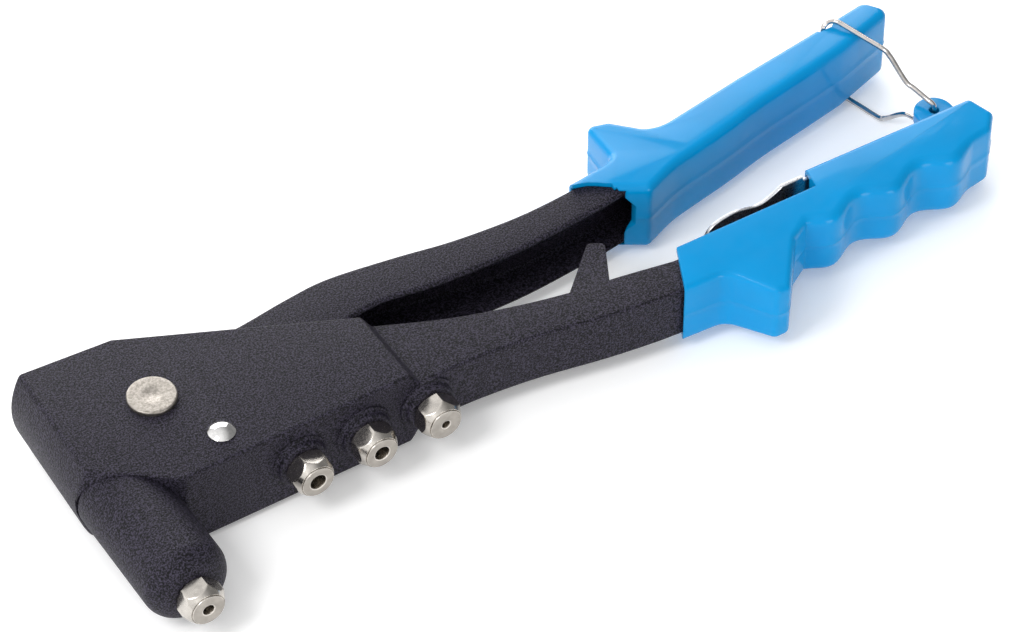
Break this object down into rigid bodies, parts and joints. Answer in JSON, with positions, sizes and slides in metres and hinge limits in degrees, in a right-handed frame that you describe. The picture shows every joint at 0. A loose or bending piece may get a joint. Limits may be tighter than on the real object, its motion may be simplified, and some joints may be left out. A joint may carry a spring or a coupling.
{
  "type": "hand riveter",
  "caption": "Pliers-type blind-rivet tool with cast body, nose barrel, spare nosepieces, sleeved grips and a wire latch that holds the handles closed.",
  "frame": {"origin": "middle of the overall box at the underside, with the tool lying on its side", "axes": "+X along the handles towards their free ends, +Z along the pivot, nosepiece points along -Y"},
  "size_m": [0.2586, 0.0862, 0.0258],
  "materials": {
    "black_powder_coat": "fine-textured satin powder coat",
    "blue_grip": "glossy soft PVC",
    "steel": "machined, oiled",
    "rivet_steel": "dull, lightly worn",
    "chrome": "polished",
    "nickel": "satin nickel",
    "zinc_plate": "bright zinc"
  },
  "bodies": {
    "frame": {"body_frame": "black_powder_coat", "barrel": "black_powder_coat", "pivot_rivet": "rivet_steel", "pivot_bush": "steel", "stop_pin": "chrome", "fixed_grip": "blue_grip", "nosepiece_spanner": "zinc_plate", "spring_plug": "steel"},
    "handle": {"moving_lever": "black_powder_coat", "moving_grip": "blue_grip"},
    "jaw_carriage": {"jaw_case": "steel", "jaw_collar": "steel", "jaw_1": "steel", "jaw_2": "steel", "jaw_3": "steel", "jaw_pusher": "steel", "jaw_spring": "steel"},
    "latch": {"latch_wire": "chrome"},
    "nose": {"nosepiece_32": "nickel"},
    "spare_48": {"nosepiece_48": "nickel"},
    "spare_40": {"nosepiece_40": "nickel"},
    "spare_24": {"nosepiece_24": "nickel"}
  },
  "joints": [
    {"name": "handle_swing", "type": "hinge", "parent": "frame", "child": "handle", "pos_m": [-0.10174, 0.01334, 0.0127], "axis": [0, 0, 1], "range_deg": [-3, 26]},
    {"name": "jaw_slide", "type": "slide", "parent": "frame", "child": "jaw_carriage", "axis": [0, -1, 0], "range_m": [-0.0009, 0.0069], "deforming": ["jaw_spring"]},
    {"name": "latch_swing", "type": "hinge", "parent": "frame", "child": "latch", "pos_m": [0.12186, 0.00534, 0.0127], "axis": [0, 0, 1], "range_deg": [-105, 13], "deforming": ["latch_wire"]},
    {"name": "nose_unscrew", "type": "slide", "parent": "frame", "child": "nose", "axis": [0, -1, 0], "range_m": [0, 0.012]},
    {"name": "spare_48_unscrew", "type": "slide", "parent": "frame", "child": "spare_48", "axis": [0, -1, 0], "range_m": [0, 0.012]},
    {"name": "spare_40_unscrew", "type": "slide", "parent": "frame", "child": "spare_40", "axis": [0, -1, 0], "range_m": [0, 0.012]},
    {"name": "spare_24_unscrew", "type": "slide", "parent": "frame", "child": "spare_24", "axis": [0, -1, 0], "range_m": [0, 0.012]}
  ],
  "couplings": [
    {"joint": "jaw_slide", "follows": "handle_swing", "m_per_rad": 0.015},
    {"joint": "latch_swing", "follows": "handle_swing", "ratio": -4}
  ]
}
